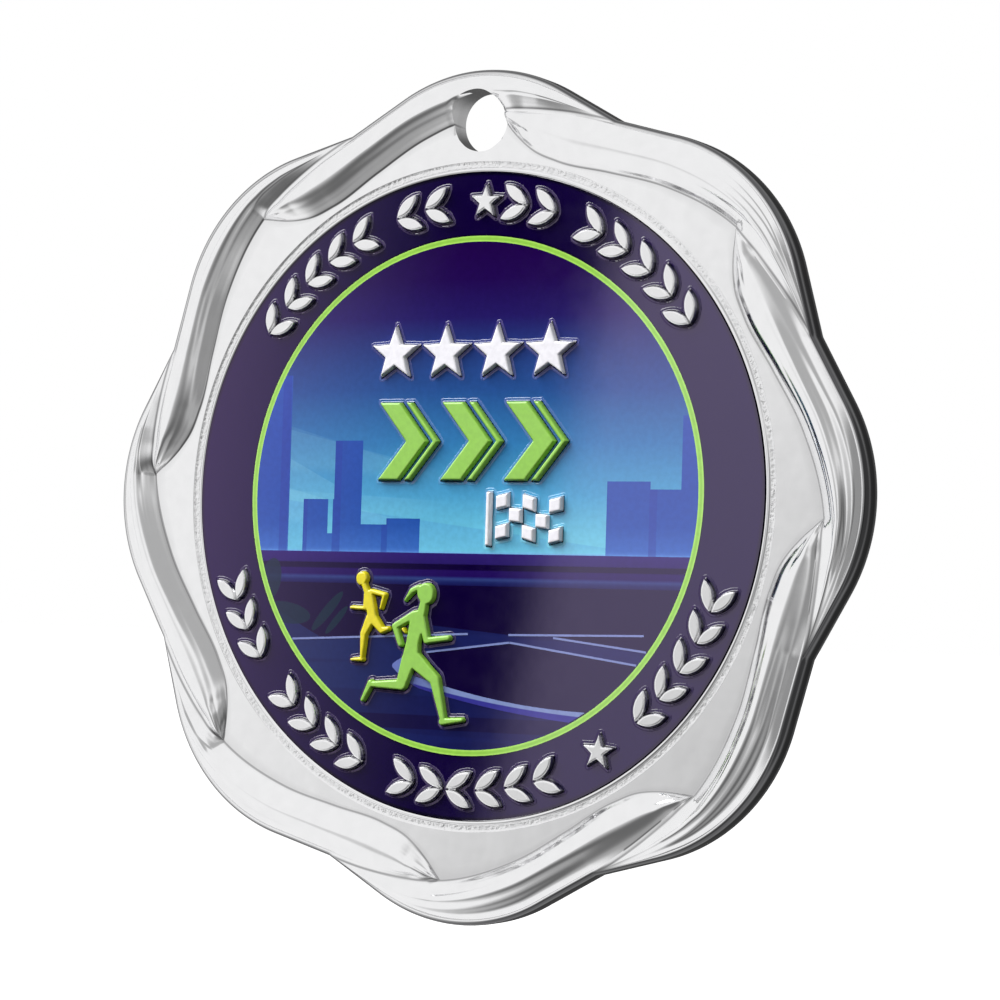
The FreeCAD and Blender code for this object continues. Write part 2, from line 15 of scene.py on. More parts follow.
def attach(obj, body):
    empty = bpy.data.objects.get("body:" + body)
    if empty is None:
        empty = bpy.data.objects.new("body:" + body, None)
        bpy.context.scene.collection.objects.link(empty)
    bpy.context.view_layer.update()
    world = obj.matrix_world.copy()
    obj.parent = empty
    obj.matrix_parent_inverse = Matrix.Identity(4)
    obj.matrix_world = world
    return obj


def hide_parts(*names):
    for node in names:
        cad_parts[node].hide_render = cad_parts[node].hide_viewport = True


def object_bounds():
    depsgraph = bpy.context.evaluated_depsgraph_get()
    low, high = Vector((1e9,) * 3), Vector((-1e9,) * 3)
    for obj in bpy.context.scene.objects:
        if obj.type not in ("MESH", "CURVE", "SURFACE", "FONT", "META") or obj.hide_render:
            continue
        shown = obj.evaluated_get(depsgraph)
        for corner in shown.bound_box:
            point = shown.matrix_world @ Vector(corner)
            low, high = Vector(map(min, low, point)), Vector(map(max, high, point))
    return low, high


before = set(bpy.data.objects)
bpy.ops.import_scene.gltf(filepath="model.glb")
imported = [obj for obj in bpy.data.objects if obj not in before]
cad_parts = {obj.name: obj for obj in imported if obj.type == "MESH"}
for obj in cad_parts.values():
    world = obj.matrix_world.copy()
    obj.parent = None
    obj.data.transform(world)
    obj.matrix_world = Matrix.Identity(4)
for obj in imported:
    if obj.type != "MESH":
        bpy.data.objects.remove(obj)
cad_box = [list(corner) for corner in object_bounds()]

MM = 0.001
CENTRE = Vector((0, -0.0009, -0.0295))
HOLE_HEIGHT = 29.5
EDGE_THICKNESS = 2.2
ENAMEL_FRONT = 2.0
scene = bpy.context.scene


def place(x, y, height):
    """Flat drawing coordinates in the row frame."""
    return np.stack([x, EDGE_THICKNESS / 2 - height, y - HOLE_HEIGHT], -1) * MM


def spline(knots, at):
    """A smooth curve through (position, value) knots, level beyond its ends."""
    x, y = np.array(knots, float).T
    at = np.clip(at, x[0], x[-1])
    slope = np.gradient(y, x)
    i = np.clip(np.searchsorted(x, at) - 1, 0, len(x) - 2)
    span = x[i + 1] - x[i]
    t = (at - x[i]) / span
    return (
        y[i] * (1 + 2 * t) * (1 - t) ** 2
        + y[i + 1] * t**2 * (3 - 2 * t)
        + span * t * (1 - t) * (slope[i] * (1 - t) - slope[i + 1] * t)
    )


def smoothstep(low, high, at):
    """0 below low, 1 above high, smooth between."""
    t = np.clip((at - low) / (high - low), 0, 1)
    return t * t * (3 - 2 * t)


def direction(azimuth, elevation):
    """A unit vector; azimuth 0 is in front of the medal and 90 is to its right."""
    a, e = math.radians(azimuth), math.radians(elevation)
    return Vector((math.sin(a) * math.cos(e), -math.cos(a) * math.cos(e), math.sin(e)))


def srgb(red, green, blue):
    """A display colour of 0 to 255 as linear RGBA."""
    linear = [
        c / 12.92 if c < 0.04045 else ((c + 0.055) / 1.055) ** 2.4
        for c in (red / 255, green / 255, blue / 255)
    ]
    return (*linear, 1)


# ---------------------------------------------------------------- camera

YAW, PITCH, ROLL = 29.59, -2.35, math.radians(1.74)
DISTANCE = 0.2395
SENSOR = 36.0
FOCAL_SHARE = 3.0578
OFF_CENTRE = (-0.0312, 0.0051)

back = direction(YAW, PITCH)
level_right = Vector((0, 0, 1)).cross(back).normalized()
level_up = back.cross(level_right)
right = level_right * math.cos(ROLL) + level_up * math.sin(ROLL)
up = level_up * math.cos(ROLL) - level_right * math.sin(ROLL)

camera_data = bpy.data.cameras.new("camera")
camera_data.sensor_width = SENSOR
camera_data.lens = SENSOR * FOCAL_SHARE
camera_data.clip_start = 0.01
camera = bpy.data.objects.new("camera", camera_data)
scene.collection.objects.link(camera)
slide = (right * OFF_CENTRE[0] + up * OFF_CENTRE[1]) * (DISTANCE / FOCAL_SHARE)
axes = Matrix((right, up, back)).transposed().to_4x4()
camera.matrix_world = Matrix.Translation(CENTRE + back * DISTANCE - slide) @ axes
scene.camera = camera
scene.view_settings.view_transform = "Standard"

# ---------------------------------------------------------------- node helpers


def put(tree, kind, values=None, **properties):
    """A shader node with its properties set and its sockets set or linked."""
    made = tree.nodes.new(kind)
    for key, value in properties.items():
        setattr(made, key, value)
    for key, value in (values or {}).items():
        if isinstance(value, bpy.types.NodeSocket):
            tree.links.new(value, made.inputs[key])
        else:
            made.inputs[key].default_value = value
    return made


def maths(tree, operation, first, second=0.0, third=0.0):
    """The output of a math node."""
    values = {0: first, 1: second, 2: third}
    return put(tree, "ShaderNodeMath", values, operation=operation).outputs[0]


def fade(tree, value, low, high, start=0.0, end=1.0):
    """A smooth step of a value from start to end."""
    values = {"Value": value, "From Min": low, "From Max": high, "To Min": start, "To Max": end}
    kind = "SMOOTHSTEP"
    return put(tree, "ShaderNodeMapRange", values, interpolation_type=kind).outputs[0]


def mixed(tree, factor, first, second, blend="MIX"):
    """Two colours mixed by a factor."""
    made = put(tree, "ShaderNodeMix", data_type="RGBA", blend_type=blend)
    for index, value in ((0, factor), (6, first), (7, second)):
        if isinstance(value, bpy.types.NodeSocket):
            tree.links.new(value, made.inputs[index])
        else:
            made.inputs[index].default_value = value
    return made.outputs[2]


def grains(tree, position, scale, detail=3.0, stretch=(1, 1, 1)):
    """Noise from 0 to 1 at a scale per millimetre."""
    spread = put(tree, "ShaderNodeVectorMath", {0: position, 1: stretch}, operation="MULTIPLY")
    values = {"Vector": spread.outputs[0], "Scale": scale, "Detail": detail}
    return put(tree, "ShaderNodeTexNoise", values).outputs["Fac"]


def flat_position(tree):
    """Position in millimetres from the medal's centre, with its x, z and radius."""
    place_of = put(tree, "ShaderNodeTexCoord").outputs["Object"]
    values = {0: place_of, 1: (1 / MM,) * 3, 2: (0, 0, HOLE_HEIGHT)}
    flat = put(tree, "ShaderNodeVectorMath", values, operation="MULTIPLY_ADD").outputs[0]
    parts = put(tree, "ShaderNodeSeparateXYZ", {0: flat})
    face = put(tree, "ShaderNodeVectorMath", {0: flat, 1: (1, 0, 1)}, operation="MULTIPLY")
    radius = put(tree, "ShaderNodeVectorMath", {0: face.outputs[0]}, operation="LENGTH")
    return flat, parts.outputs["X"], parts.outputs["Z"], radius.outputs["Value"]


def new_material(name, **sockets):
    """A principled material: its node tree, its shader and the sockets set on it."""
    made = bpy.data.materials.new(name)
    made.use_nodes = True
    shader = made.node_tree.nodes["Principled BSDF"]
    for key, value in sockets.items():
        shader.inputs[key.replace("_", " ")].default_value = value
    return made, made.node_tree, shader


def relief_of(tree, shader, height, depth):
    """Fine surface relief in millimetres."""
    values = {"Height": height, "Distance": depth * MM, "Strength": 1.0}
    bump = put(tree, "ShaderNodeBump", values)
    tree.links.new(bump.outputs[0], shader.inputs["Normal"])


# ---------------------------------------------------------------- casting

LOBES = 8
PERIOD = 360 / LOBES
STATION = 0.375
TIP, HIDE, NOTCH = -42.0, 3.0, 22.5
LOBE_RADIUS, LOBE_PEAK, NOTCH_RADIUS = 14.5, 33.6, 31.35
HOLE_RADIUS = 2.4
ROUNDING = 0.2
FIELD = 1.95
GRAIN_RADII = (25.84, 26.24)
# painted shade along the outer edge and at each strand's foot: where it starts, in millimetres, and how
# dark it gets
EDGE_DARK, EDGE_SHARE = 0.42, 0.95
SEAM_DARK, SEAM_SHARE = 0.14, 0.6

# inner line of one rope strand, from the tip of its head to the notch where it ends
INNER_LINE = (
    (TIP, 30.2), (-39.3, 28.75), (-35.5, 27.45), (-30, 26.85), (-20, 27.4), (-10, 28.7),
    (HIDE, 30.2), (12, 30.6), (NOTCH, NOTCH_RADIUS - ROUNDING),
)
CREST_LINE = ((TIP, 2.7), (-38, 2.95), (-30, 3.2), (-18, 3.36), (0, 3.32), (12, 3.0), (NOTCH, 2.4))
BRINK_LINE = ((TIP, FIELD), (-40.5, 2.4), (-37, 2.5), (-30, 2.35), (-NOTCH, 2.0))
FOLD_DRIFT = ((TIP, 1.25), (-22, 1.12), (0, 1.0), (NOTCH, 0.82))
# the section: millimetres in and share of the height for the wall; then, against the share of
# the way across, how far the plain and the folded top have dropped
WALL = (
    (0, 0), (0.07, 0.02), (0.16, 0.07), (0.27, 0.14), (0.38, 0.215), (0.48, 0.28), (0.56, 0.325),
    (0.65, 0.38), (0.75, 0.44), (0.85, 0.495), (0.95, 0.545), (1.05, 0.585),
)
WALL_LIMIT, BEAD_LIMIT = 0.38, 0.12
# a strand narrower than FULL_WIDTH is lower too, by this power of its width
FULL_WIDTH, SQUEEZE_POWER = 2.2, 0.9
BEAD_LOSS = 0.6
# stations over which the bead rises, the bead fades, the folds rise and the folds fade
BEAD_RISES, BEAD_FADES = (-26, -NOTCH), (6, 20)
FOLDS_RISE, FOLDS_FADE = (-34, -6), (4, 19)
SHOULDER = 0.46
PLAIN_TOP = ((0, 0), (0.12, 0.01), (0.34, 0.13), (0.60, 0.38), (0.84, 0.70), (1, 1))
FOLDS = (
    (0, 0), (0.14, 0), (0.28, 0.06), (0.42, 0.24), (0.53, 0.42), (0.62, 0.50),
    (0.71, 0.52), (0.80, 0.57), (0.90, 0.76), (1, 1),
)
TOP_COLUMNS = 22
# millimetres in from the outline and height: the bead above the brink, the edge above the back
BEAD = ((0.26, 0.03), (0.19, 0.05), (0.12, 0.05), (0.05, 0.03), (0, 0))
EDGE_WALL = (
    (0.11, 1.88), (0.05, 1.72), (0.01, 1.5), (0, 1.2), (0, 0.6), (0, 0.12), (0.04, 0.03), (0.12, 0),
)
# radii and heights above the field, from the pocket's wall over its lip and the grain ring
POCKET = (
    (25.45, -0.75), (25.45, -0.1), (25.48, -0.02), (25.56, 0.02), (25.66, 0.02),
    (25.75, -0.02), (25.8, -0.09), (25.87, -0.12), (25.94, -0.12), (26.01, -0.12),
    (26.08, -0.12), (26.15, -0.12), (26.2, -0.11), (26.25, -0.06), (26.32, 0),
)
HEM = 0.07
AHEAD_SHARES = (0.25, 0.5, 0.75, 1.0)

# coarse and fine noise of the grain ring: height and scale
GRAIN_NOISE = ((0.012, 3.1), (0.008, 7.7))
LIP_REACH, LIP_DROP = 0.35, 0.16
# heights above the back between which the hole is cut; a strand's crest may stand above the upper
BORE_HEIGHTS = (-1.0, 3.0)
BACK_CHAMFER = 0.12
HOLE_SIDES = 96
FLAT_CORNERS = 9
CASTING_CREASE, RELIEF_CREASE = 38, 50
MERGE = 5e-7
# where the painted shade at a strand's foot is centred and where it is full, in millimetres
SEAM_MIDDLE, SEAM_FULL = 0.04, 0.03
# heights above the back between which the painted shade ends
UNSHADED_BACK = (0.3, 0.1)


def outline(angle):
    """Radius of the scalloped edge at an angle from a lobe's middle."""
    turn = np.radians(np.abs(angle))
    rise = LOBE_PEAK - LOBE_RADIUS
    notch = math.radians(NOTCH)
    across, along = NOTCH_RADIUS * math.sin(notch), NOTCH_RADIUS * math.cos(notch) - rise
    touch = math.atan2(across, along) - math.acos(LOBE_RADIUS / math.hypot(across, along))
    half_chord = np.sqrt(np.maximum(LOBE_RADIUS**2 - (rise * np.sin(turn)) ** 2, 0))
    arc = rise * np.cos(turn) + half_chord
    flank = (rise * math.cos(touch) + LOBE_RADIUS) / np.cos(touch - turn)
    limit = math.atan2(LOBE_RADIUS * math.sin(touch), rise + LOBE_RADIUS * math.cos(touch))
    return np.where(turn < limit, arc, flank)


def strand_grid():
    """Angle, radius and height of one strand, by station and column."""
    s = np.arange(TIP, NOTCH + STATION / 2, STATION)[:, None]
    inner = spline(INNER_LINE, s)
    outer = np.where(s < -NOTCH, spline(INNER_LINE, s + PERIOD), outline(s) - ROUNDING)
    width = np.maximum(outer - inner, 0)
    brink = spline(BRINK_LINE, s)
    foot = np.where(s < HIDE, FIELD, spline(BRINK_LINE, s - PERIOD))
    rolled = smoothstep(*BEAD_RISES, s)
    squeeze = np.minimum(width / FULL_WIDTH, 1) ** SQUEEZE_POWER
    crest = brink + (spline(CREST_LINE, s) - brink) * squeeze

    wall_in, wall_share = np.array(WALL).T
    wall_width = np.minimum(wall_in[-1], WALL_LIMIT * width)
    wall_radius = inner + wall_in / wall_in[-1] * wall_width
    wall_height = foot + wall_share * (crest - foot)

    bead_in, bead_rise = np.array(BEAD).T
    bead_width = np.minimum(bead_in[0], BEAD_LIMIT * width)
    bead_radius = outer - bead_in / bead_in[0] * bead_width
    fading = 1 - BEAD_LOSS * smoothstep(*BEAD_FADES, s)
    bead_height = brink + bead_rise * rolled * squeeze * fading

    u = (np.arange(TOP_COLUMNS) + 1) / (TOP_COLUMNS + 1)
    across = u[None, :] ** spline(FOLD_DRIFT, s)
    folded = smoothstep(*FOLDS_RISE, s) * (1 - smoothstep(*FOLDS_FADE, s))
    drop = (1 - folded) * spline(PLAIN_TOP, across) + folded * spline(FOLDS, across)
    start, stop = wall_radius[:, -1:], bead_radius[:, :1]
    top_radius = start + (stop - start) * u
    landing = bead_height[:, :1]
    shoulder = (crest - wall_height[:, -1:]) * (1 - np.minimum(across / SHOULDER, 1)) ** 2
    top_height = landing + (crest - landing) * (1 - drop) - shoulder

    radius = np.hstack([wall_radius, top_radius, bead_radius])
    height = np.hstack([wall_height, top_height, bead_height])
    return np.broadcast_to(s, radius.shape), radius, height


def field_grid():
    """Pocket edge, grain ring and flat field in front of one strand's foot."""
    s = np.arange(TIP, HIDE + STATION / 2, STATION)[:, None]
    radii, heights = np.array(POCKET).T
    foot = spline(INNER_LINE, s)
    ahead = radii[-1] + (foot - HEM - radii[-1]) * AHEAD_SHARES
    radius = np.hstack([np.broadcast_to(radii, (len(s), len(radii))), ahead, foot])
    rises = np.concatenate([heights, np.zeros(radius.shape[1] - len(heights))])
    height = np.broadcast_to(FIELD + rises, radius.shape)
    return np.broadcast_to(s, radius.shape), radius, height


def edge_grid():
    """Wall of the outer edge, down to the back."""
    s = np.arange(-NOTCH, NOTCH + STATION / 2, STATION)[:, None]
    step_in, heights = np.array(((ROUNDING, spline(BRINK_LINE, -NOTCH)), *EDGE_WALL)).T
    radius = outline(s) - step_in
    return np.broadcast_to(s, radius.shape), radius, np.broadcast_to(heights, radius.shape)


def quads(numbers):
    """The faces between the numbered vertices of a grid."""
    corners = (numbers[:-1, :-1], numbers[:-1, 1:], numbers[1:, 1:], numbers[1:, :-1])
    return np.stack(corners, -1).reshape(-1, 4)


def add_grid(vertices, faces, angle, radius, height):
    """Append a grid of quads and return the numbers of its vertices."""
    turn = np.radians(angle)
    first = sum(len(v) for v in vertices)
    numbers = first + np.arange(angle.size).reshape(angle.shape)
    vertices.append(place(radius * np.sin(turn), radius * np.cos(turn), height).reshape(-1, 3))
    faces.append(quads(numbers))
    return numbers


def surface_mesh(name, vertices, faces, extra=()):
    """A mesh from grids, with doubles merged and faces turned outwards."""
    mesh = bpy.data.meshes.new(name)
    all_faces = np.concatenate(faces).tolist() + list(extra)
    mesh.from_pydata(np.concatenate(vertices).tolist(), [], all_faces)
    work = bmesh.new()
    work.from_mesh(mesh)
    bmesh.ops.remove_doubles(work, verts=work.verts, dist=MERGE)
    bmesh.ops.recalc_face_normals(work, faces=work.faces)
    work.to_mesh(mesh)
    work.free()
    return mesh


def new_piece(name, mesh, replaces=(), material=None):
    """A visual piece standing for the CAD nodes that it replaces, which are hidden."""
    piece = bpy.data.objects.new(name, mesh)
    scene.collection.objects.link(piece)
    if material:
        mesh.materials.append(material)
    if replaces:
        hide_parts(*replaces)
    return piece


def soften(mesh, degrees):
    """Smooth shading, with flat many-sided faces and edges sharper than an angle left crisp."""
    mesh.shade_smooth()
    mesh.set_sharp_from_angle(angle=math.radians(degrees))
    for face in mesh.polygons:
        face.use_smooth = face.loop_total < FLAT_CORNERS


def vertex_points(mesh):
    """The places of a mesh's vertices, one row each."""
    points = np.empty(len(mesh.vertices) * 3)
    mesh.vertices.foreach_get("co", points)
    return points.reshape(-1, 3)


def add_painted_shade(mesh):
    """Store painted shade: a dark line along the outer edge and in the crease at each strand's foot."""
    x, y, z = vertex_points(mesh).T / MM
    radius = np.hypot(x, z + HOLE_HEIGHT)
    angle = np.degrees(np.arctan2(x, z + HOLE_HEIGHT))
    in_lobe = (angle + PERIOD / 2) % PERIOD - PERIOD / 2
    painted_shade = smoothstep(EDGE_DARK, ROUNDING, outline(in_lobe) - radius) * EDGE_SHARE
    for lobe in range(LOBES):
        s = (angle - lobe * PERIOD - TIP) % 360 + TIP
        away = np.abs(radius - spline(INNER_LINE, s) - SEAM_MIDDLE)
        seam = np.where(s < NOTCH, smoothstep(SEAM_DARK, SEAM_FULL, away), 0) * SEAM_SHARE
        painted_shade = np.maximum(painted_shade, seam)
    on_back = smoothstep(*(EDGE_THICKNESS / 2 - height for height in UNSHADED_BACK), y)
    stored = mesh.attributes.new("painted_shade", "FLOAT", "POINT")
    stored.data.foreach_set("value", painted_shade * (1 - on_back))


def casting_mesh():
    """Field, grain ring, eight rope strands, scalloped edge and back, without the hole."""
    vertices, faces, floor, back_rim = [], [], [], []
    for lobe in range(LOBES):
        turned = lobe * PERIOD
        for angle, radius, height in (strand_grid(), field_grid(), edge_grid()):
            numbers = add_grid(vertices, faces, angle + turned, radius, height)
            if radius[0, 0] == POCKET[0][0]:
                floor += numbers[:-1, 0].tolist()
        back_rim += numbers[:-1, -1].tolist()
    return surface_mesh("casting", vertices, faces, (floor, back_rim))


def roughen(mesh):
    """Grain in its ring, and a lip that falls away into the hole."""
    points = vertex_points(mesh)
    x, z = points[:, 0] / MM, points[:, 2] / MM
    radius = np.hypot(x, z + HOLE_HEIGHT)
    height = EDGE_THICKNESS / 2 - points[:, 1] / MM
    in_front = height > 1
    in_grain = (radius > GRAIN_RADII[0]) & (radius < GRAIN_RADII[1]) & in_front
    for i in np.flatnonzero(in_grain):
        spot = Vector((x[i], z[i], 0))
        height[i] += sum(rise * noise.noise(spot * scale) for rise, scale in GRAIN_NOISE)
    into_lip = HOLE_RADIUS + LIP_REACH - np.hypot(x, z)
    lip = (into_lip > 0) & in_front
    height[lip] -= LIP_DROP * np.minimum(into_lip[lip] / LIP_REACH, 1) ** 2
    points[:, 1] = (EDGE_THICKNESS / 2 - height) * MM
    mesh.vertices.foreach_set("co", points.ravel())
    mesh.update()


def hole_mesh():
    """What the ribbon hole takes away: a round bore, wider where it meets the back."""
    wide = HOLE_RADIUS + BACK_CHAMFER
    low, high = BORE_HEIGHTS
    profile = ((HOLE_RADIUS, high), (HOLE_RADIUS, BACK_CHAMFER), (wide, 0.0), (wide, low))
    radii, heights = np.array(profile).T
    turn = np.radians(np.linspace(0, 360, HOLE_SIDES + 1)[:, None])
    x, y = radii * np.sin(turn), HOLE_HEIGHT + radii * np.cos(turn)
    rings = place(x, y, np.broadcast_to(heights, x.shape))
    numbers = np.arange(x.size).reshape(x.shape)
    caps = (numbers[:-1, 0].tolist(), numbers[:-1, -1].tolist())
    return surface_mesh("cutter", [rings.reshape(-1, 3)], [quads(numbers)], caps)


def make_casting():
    """The cast body, with the ribbon hole cut through it."""
    mesh = casting_mesh()
    roughen(mesh)
    casting = new_piece("casting", mesh, ["medal_body"])
    cutter = bpy.data.objects.new("cutter", hole_mesh())
    scene.collection.objects.link(cutter)
    cut = casting.modifiers.new("ribbon_hole", "BOOLEAN")
    cut.object = cutter
    cut.solver = "MANIFOLD"
    bpy.context.view_layer.update()
    evaluated = casting.evaluated_get(bpy.context.evaluated_depsgraph_get())
    drilled = bpy.data.meshes.new_from_object(evaluated)
    casting.modifiers.clear()
    casting.data = drilled
    drilled.name = "casting"
    bpy.data.objects.remove(cutter)
    add_painted_shade(drilled)
    soften(drilled, CASTING_CREASE)
    return casting


# ---------------------------------------------------------------- raised work

GRID = 0.05
SETTING_REACH = 0.34
BURIED = -0.02
FAR = 9.0
# signed distance to the outline and height over the enamel, as shares of the relief
RELIEF_SECTION = ((-0.20, 1.0), (-0.14, 0.985), (-0.09, 0.93), (-0.05, 0.80), (-0.01, 0.05))
RELIEF_LEVELS = (0, -0.05, -0.20)
SETTING_SECTION = ((0.02, 0.06), (0.10, 0.004), (0.17, 0.004), (0.22, 0.016), (0.34, 0.0))
SETTING_LEVELS = (0, SETTING_REACH, 0.10, 0.22)


def sides_of(triangles):
    """Every side of some triangles once, and how many of them share it."""
    pairs = [triangles[:, [0, 1]], triangles[:, [1, 2]], triangles[:, [2, 0]]]
    return np.unique(np.sort(np.concatenate(pairs), 1), axis=0, return_counts=True)


def front_shapes(node):
    """Outlines of the separate shapes on a CAD node's front, each as two arrays of edge ends."""
    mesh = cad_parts[node].data
    mesh.calc_loop_triangles()
    points = np.array([v.co for v in mesh.vertices]) / MM
    corners = np.array([t.vertices for t in mesh.loop_triangles])
    on_front = (points[corners, 1] < points[:, 1].min() + 0.001).all(1)
    flat = np.round(points[:, [0, 2]] + (0, HOLE_HEIGHT), 3)
    flat, number = np.unique(flat, axis=0, return_inverse=True)
    corners = number.reshape(-1)[corners[on_front]]
    edges, uses = sides_of(corners)
    label = np.arange(len(flat))
    while True:
        lowest = np.minimum(label[edges[:, 0]], label[edges[:, 1]])
        before = label.copy()
        np.minimum.at(label, edges[:, 0], lowest)
        np.minimum.at(label, edges[:, 1], lowest)
        if (label == before).all():
            break
    rim = edges[uses == 1]
    groups = label[rim[:, 0]]
    return [(flat[rim[groups == g, 0]], flat[rim[groups == g, 1]]) for g in np.unique(groups)]


def box_of(shapes, gap):
    """The lowest and highest corner of some outlines, with a gap round them."""
    corners = np.concatenate([np.concatenate(shape) for shape in shapes])
    return corners.min(0) - gap, corners.max(0) + gap


def neighbours(shapes, gap):
    """Shapes in groups whose boxes come nearer than a gap."""
    groups = []
    for shape in shapes:
        low, high = box_of([shape], gap)
        members = [shape]
        apart = []
        for other_low, other_high, others in groups:
            if (low < other_high).all() and (other_low < high).all():
                low, high = np.minimum(low, other_low), np.maximum(high, other_high)
                members += others
            else:
                apart.append((other_low, other_high, others))
        groups = apart + [(low, high, members)]
    return [members for _, _, members in groups]


def distance_field(shapes, reach):
    """A grid over some shapes: points, signed distance to the outline and its nearest point."""
    low, high = box_of(shapes, reach)
    count = np.ceil((high - low) / GRID).astype(int) + 1
    steps = np.meshgrid(np.arange(count[0]), np.arange(count[1]), indexing="ij")
    points = low + np.stack(steps, -1) * GRID
    distance = np.full(points.shape[:2], FAR)
    nearest = points.copy()
    for start, end in shapes:
        lowest, highest = box_of([(start, end)], reach)
        first = np.maximum(np.floor((lowest - low) / GRID).astype(int), 0)
        last = np.ceil((highest - low) / GRID).astype(int) + 1
        window = (slice(first[0], last[0]), slice(first[1], last[1]))
        spot = points[window][:, :, None, :]
        along = end - start
        share = np.clip(((spot - start) * along).sum(-1) / (along**2).sum(-1), 0, 1)
        touch = start + share[..., None] * along
        length = np.linalg.norm(spot - touch, axis=-1)
        best = length.argmin(-1)[..., None]
        length = np.take_along_axis(length, best, -1)[..., 0]
        touch = np.take_along_axis(touch, best[..., None], 2)[:, :, 0]
        x, y = spot[..., 0], spot[..., 1]
        straddles = (start[:, 1] > y) != (end[:, 1] > y)
        rise = np.where(along[:, 1] == 0, 1, along[:, 1])
        crossed = straddles & (x < start[:, 0] + (y - start[:, 1]) * along[:, 0] / rise)
        signed = np.where(crossed.sum(-1) % 2 == 1, -length, length)
        closer = signed < distance[window]
        distance[window] = np.where(closer, signed, distance[window])
        nearest[window] = np.where(closer[..., None], touch, nearest[window])
    return points, distance, nearest


def snapped(points, distance, nearest, levels):
    """The grid with the points near chosen distances moved onto them, and the level of each."""
    points, kept = points.copy(), distance.copy()
    level_of = np.full(distance.shape, -1)
    for number, level in enumerate(levels):
        close = (np.abs(distance - level) < GRID / 2) & (level_of < 0)
        length = np.where(distance[close] == 0, 1, distance[close])
        away = (points[close] - nearest[close]) / length[:, None]
        points[close] = nearest[close] + away * level
        kept[close] = level
        level_of[close] = number
    return points, kept, level_of


def shell(shapes, reach, levels, allowed, section, scale):
    """Vertices and triangles of a closed relief over the part of the plane where allowed."""
    points, distance, level_of = snapped(*distance_field(shapes, reach), levels)
    numbers = np.arange(distance.size).reshape(distance.shape)
    corners = (numbers[:-1, :-1], numbers[1:, :-1], numbers[1:, 1:], numbers[:-1, 1:])
    corners = np.stack(corners, -1).reshape(-1, 4)
    levels_at = level_of.ravel()[corners]
    flip = (levels_at[:, 1] == levels_at[:, 3]) & (levels_at[:, 1] >= 0)
    keep = allowed(distance).ravel()
    flip |= ~keep[corners[:, 0]] | ~keep[corners[:, 2]]
    halves = np.where(
        flip[:, None, None],
        corners[:, [[0, 1, 3], [1, 2, 3]]],
        corners[:, [[0, 1, 2], [0, 2, 3]]],
    ).reshape(-1, 3)
    halves = halves[keep[halves].all(1)]
    used, halves = np.unique(halves, return_inverse=True)
    halves = halves.reshape(-1, 3)
    flat, distance = points.reshape(-1, 2)[used], distance.ravel()[used]
    across, heights = np.array(section).T
    height = np.interp(distance, across, heights) * scale
    rim, uses = sides_of(halves)
    height[np.unique(rim[uses == 1])] = BURIED
    top = place(flat[:, 0], flat[:, 1], ENAMEL_FRONT + height)
    below = place(flat[:, 0], flat[:, 1], ENAMEL_FRONT + np.full(len(flat), BURIED))
    return np.concatenate([top, below]), np.concatenate([halves, halves[:, ::-1] + len(flat)])


def relief_mesh(name, nodes, reach, levels, allowed, section, scale=1.0):
    """One mesh over the front outlines of some CAD nodes."""
    vertices, faces, count = [], [], 0
    shapes = [shape for node in nodes for shape in front_shapes(node)]
    for group in neighbours(shapes, reach):
        points, triangles = shell(group, reach, levels, allowed, section, scale)
        vertices.append(points)
        faces.append(triangles + count)
        count += len(points)
    mesh = surface_mesh(name, vertices, faces)
    soften(mesh, RELIEF_CREASE)
    return mesh


def raised(name, node, relief, material):
    """The finished relief that stands for a CAD node of raised shapes."""
    inside = lambda distance: distance <= 0
    mesh = relief_mesh(name, [node], 2 * GRID, RELIEF_LEVELS, inside, RELIEF_SECTION, relief)
    return new_piece(name, mesh, [node], material)


def settings(name, nodes, material):
    """The moat and the low lip of enamel round raised shapes."""
    around = lambda distance: (distance >= 0) & (distance <= SETTING_REACH)
    mesh = relief_mesh(name, nodes, SETTING_REACH + GRID, SETTING_LEVELS, around, SETTING_SECTION)
    return new_piece(name, mesh, (), material)


# ---------------------------------------------------------------- materials


# how much handling marks darken the plate, and the grey of the painted shade
WORN, SHADE_GREY = 0.965, (74, 74, 76)
POLISH_RELIEF = 0.016
# radii between which the grain ring's finish comes in and goes out
GRAIN_IN, GRAIN_OUT = (25.8, 25.87), (26.3, 26.22)
GRAIN_ROUGHNESS, GRAIN_RELIEF = 0.16, 4.5
SATIN_DEPTHS = (0.04, 0.005)
SATIN_ROUGHNESS, SATIN_RELIEF = 0.22, 0.12


